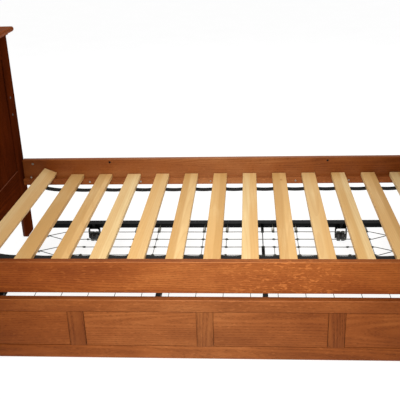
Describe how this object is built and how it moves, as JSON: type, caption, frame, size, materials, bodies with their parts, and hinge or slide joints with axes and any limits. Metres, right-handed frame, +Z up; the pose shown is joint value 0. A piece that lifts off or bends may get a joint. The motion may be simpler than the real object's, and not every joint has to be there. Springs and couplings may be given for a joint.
{
  "type": "trundle daybed",
  "caption": "Wooden daybed: panelled ends, slatted base between low side rails, and a roll-out trundle on casters with a spring deck and a panelled front.",
  "frame": {"origin": "on the floor, below the middle of the bed", "axes": "+X along the bed to its right-hand end, seen from the front; +Z up; the trundle rolls out along -Y"},
  "size_m": [2.026, 1.11, 1.022],
  "materials": {
    "oak": "satin clear coat on brown stained oak",
    "oak_dark": "satin clear coat on brown stained oak",
    "pine": "planed, unfinished",
    "black_steel": "semi-gloss black enamel",
    "spring_wire": "bright spring wire",
    "zinc": "zinc plated",
    "webbing": "woven black webbing",
    "caster_plastic": "moulded, dark"
  },
  "bodies": {
    "bed": {"left_end_cap": "oak", "left_front_post": "oak_dark", "left_rear_post": "oak_dark", "left_end_bottom_rail": "oak_dark", "left_end_top_rail": "oak_dark", "left_end_panel": "oak_dark", "right_end_cap": "oak", "right_front_post": "oak_dark", "right_rear_post": "oak_dark", "right_end_bottom_rail": "oak_dark", "right_end_top_rail": "oak_dark", "right_end_panel": "oak_dark", "front_side_rail": "oak", "front_slat_ledger": "oak", "rear_side_rail": "oak", "rear_slat_ledger": "oak", "bed_bolt_left_front_upper": "zinc", "bed_bolt_left_front_lower": "zinc", "bed_bolt_left_rear_upper": "zinc", "bed_bolt_left_rear_lower": "zinc", "bed_bolt_right_front_upper": "zinc", "bed_bolt_right_front_lower": "zinc", "bed_bolt_right_rear_upper": "zinc", "bed_bolt_right_rear_lower": "zinc", "slat_01": "pine", "slat_02": "pine", "slat_03": "pine", "slat_04": "pine", "slat_05": "pine", "slat_06": "pine", "slat_07": "pine", "slat_08": "pine", "slat_09": "pine", "slat_10": "pine", "slat_11": "pine", "slat_12": "pine", "slat_13": "pine", "strap_rear": "webbing", "strap_front": "webbing"},
    "trundle": {"trundle_front_frame": "oak", "trundle_front_panel_1": "oak", "trundle_front_panel_2": "oak", "trundle_front_panel_3": "oak", "trundle_front_panel_4": "oak", "trundle_steel_frame": "black_steel", "trundle_spring_deck": "spring_wire", "front_support_1": "black_steel", "front_support_2": "black_steel", "front_support_3": "black_steel", "front_support_4": "black_steel", "caster_fork_front_left": "black_steel", "caster_fork_front_right": "black_steel", "caster_fork_rear_left": "black_steel", "caster_fork_rear_right": "black_steel"},
    "wheel_front_left": {"caster_wheel_front_left": "caster_plastic"},
    "wheel_front_right": {"caster_wheel_front_right": "caster_plastic"},
    "wheel_rear_left": {"caster_wheel_rear_left": "caster_plastic"},
    "wheel_rear_right": {"caster_wheel_rear_right": "caster_plastic"}
  },
  "joints": [
    {"name": "trundle_slide", "type": "slide", "parent": "bed", "child": "trundle", "axis": [0, -1, 0], "range_m": [-0.023, 1]},
    {"name": "wheel_spin_front_left", "type": "hinge", "parent": "trundle", "child": "wheel_front_left", "pos_m": [-0.606, -0.498, 0.024], "axis": [1, 0, 0], "continuous": true},
    {"name": "wheel_spin_front_right", "type": "hinge", "parent": "trundle", "child": "wheel_front_right", "pos_m": [0.588, -0.498, 0.024], "axis": [1, 0, 0], "continuous": true},
    {"name": "wheel_spin_rear_left", "type": "hinge", "parent": "trundle", "child": "wheel_rear_left", "pos_m": [-0.606, 0.402, 0.024], "axis": [1, 0, 0], "continuous": true},
    {"name": "wheel_spin_rear_right", "type": "hinge", "parent": "trundle", "child": "wheel_rear_right", "pos_m": [0.588, 0.402, 0.024], "axis": [1, 0, 0], "continuous": true}
  ]
}
